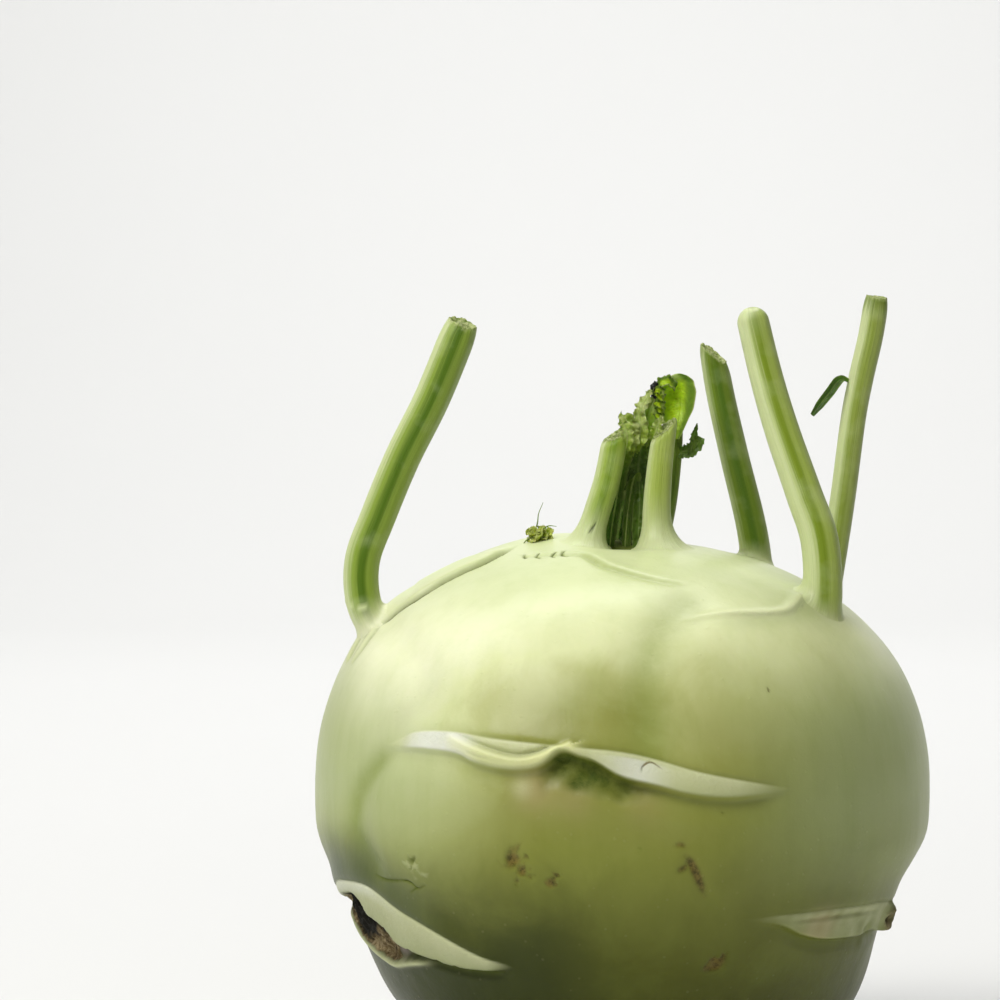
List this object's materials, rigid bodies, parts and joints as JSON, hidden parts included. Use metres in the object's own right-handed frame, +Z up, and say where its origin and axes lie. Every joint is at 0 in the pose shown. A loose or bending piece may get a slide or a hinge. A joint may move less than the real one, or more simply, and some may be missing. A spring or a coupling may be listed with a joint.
{
  "type": "kohlrabi",
  "caption": "Whole green kohlrabi: a round swollen stem with crescent leaf scars, cut leaf stalks on its shoulders and small curled leaves at the crown, resting on its trimmed root.",
  "frame": {"origin": "on the surface that the kohlrabi rests on, under the middle of its outline", "axes": "+Z up through the crown, -Y towards the side with the long front leaf scar, +X towards the pair of stalks on the right shoulder"},
  "size_m": [0.1102, 0.1112, 0.1455],
  "materials": {
    "bulb_skin": "waxy satin plant skin, pale cream green above and olive green below",
    "stalk": "satin leaf stalk, green with paler edges and a darker streak",
    "young_leaf": "matt dark green young leaf",
    "bright_leaf": "matt yellow green young leaf"
  },
  "bodies": {
    "root": {"bulb": "bulb_skin", "left_stalk": "stalk", "right_front_stalk": "stalk", "right_rear_stalk": "stalk", "rear_stalk": "stalk", "crown_left_stalk": "stalk", "crown_right_stalk": "stalk", "crown_rear_stalk": "stalk", "cupped_leaf": "bright_leaf", "lobed_leaf": "young_leaf", "young_leaf_left": "young_leaf", "young_leaf_mid": "young_leaf", "young_leaf_right": "young_leaf", "stalk_leaflet": "young_leaf", "bud_tuft": "bright_leaf"}
  },
  "joints": []
}
